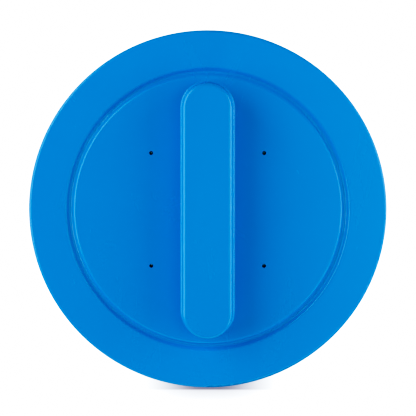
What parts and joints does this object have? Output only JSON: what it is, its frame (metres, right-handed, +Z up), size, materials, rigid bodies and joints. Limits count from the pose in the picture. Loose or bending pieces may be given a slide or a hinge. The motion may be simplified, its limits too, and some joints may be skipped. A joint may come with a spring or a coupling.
{
  "type": "hockey puck",
  "caption": "Hand-held sliding puck: flat blue moulded disc with a straight bar grip, ring channel, inner steel ballast plate and a low-friction glide ring on the sole.",
  "frame": {"origin": "centre of the sole, on the flat surface that the glide ring stands on", "axes": "+Z up out of the sole through the bar grip, Y along the bar grip, +X to the right of it"},
  "size_m": [0.1508, 0.1508, 0.0414],
  "materials": {
    "blue_shell": "satin",
    "blue_cover": "matte",
    "screw_steel": "satin",
    "plug_plastic": "matte",
    "ballast_steel": "satin",
    "pad_foam": "matte",
    "gasket_rubber": "matte",
    "glide_plastic": "satin",
    "tape": "matte"
  },
  "bodies": {
    "root": {"top_shell": "blue_shell", "base_cover": "blue_cover", "cover_screws": "screw_steel", "screw_plug_front_left": "plug_plastic", "screw_plug_front_right": "plug_plastic", "screw_plug_rear_left": "plug_plastic", "screw_plug_rear_right": "plug_plastic", "ballast_plate": "ballast_steel", "ballast_pad": "pad_foam", "rim_gasket": "gasket_rubber", "glide_ring": "glide_plastic", "glide_ring_tape": "tape"}
  },
  "joints": []
}
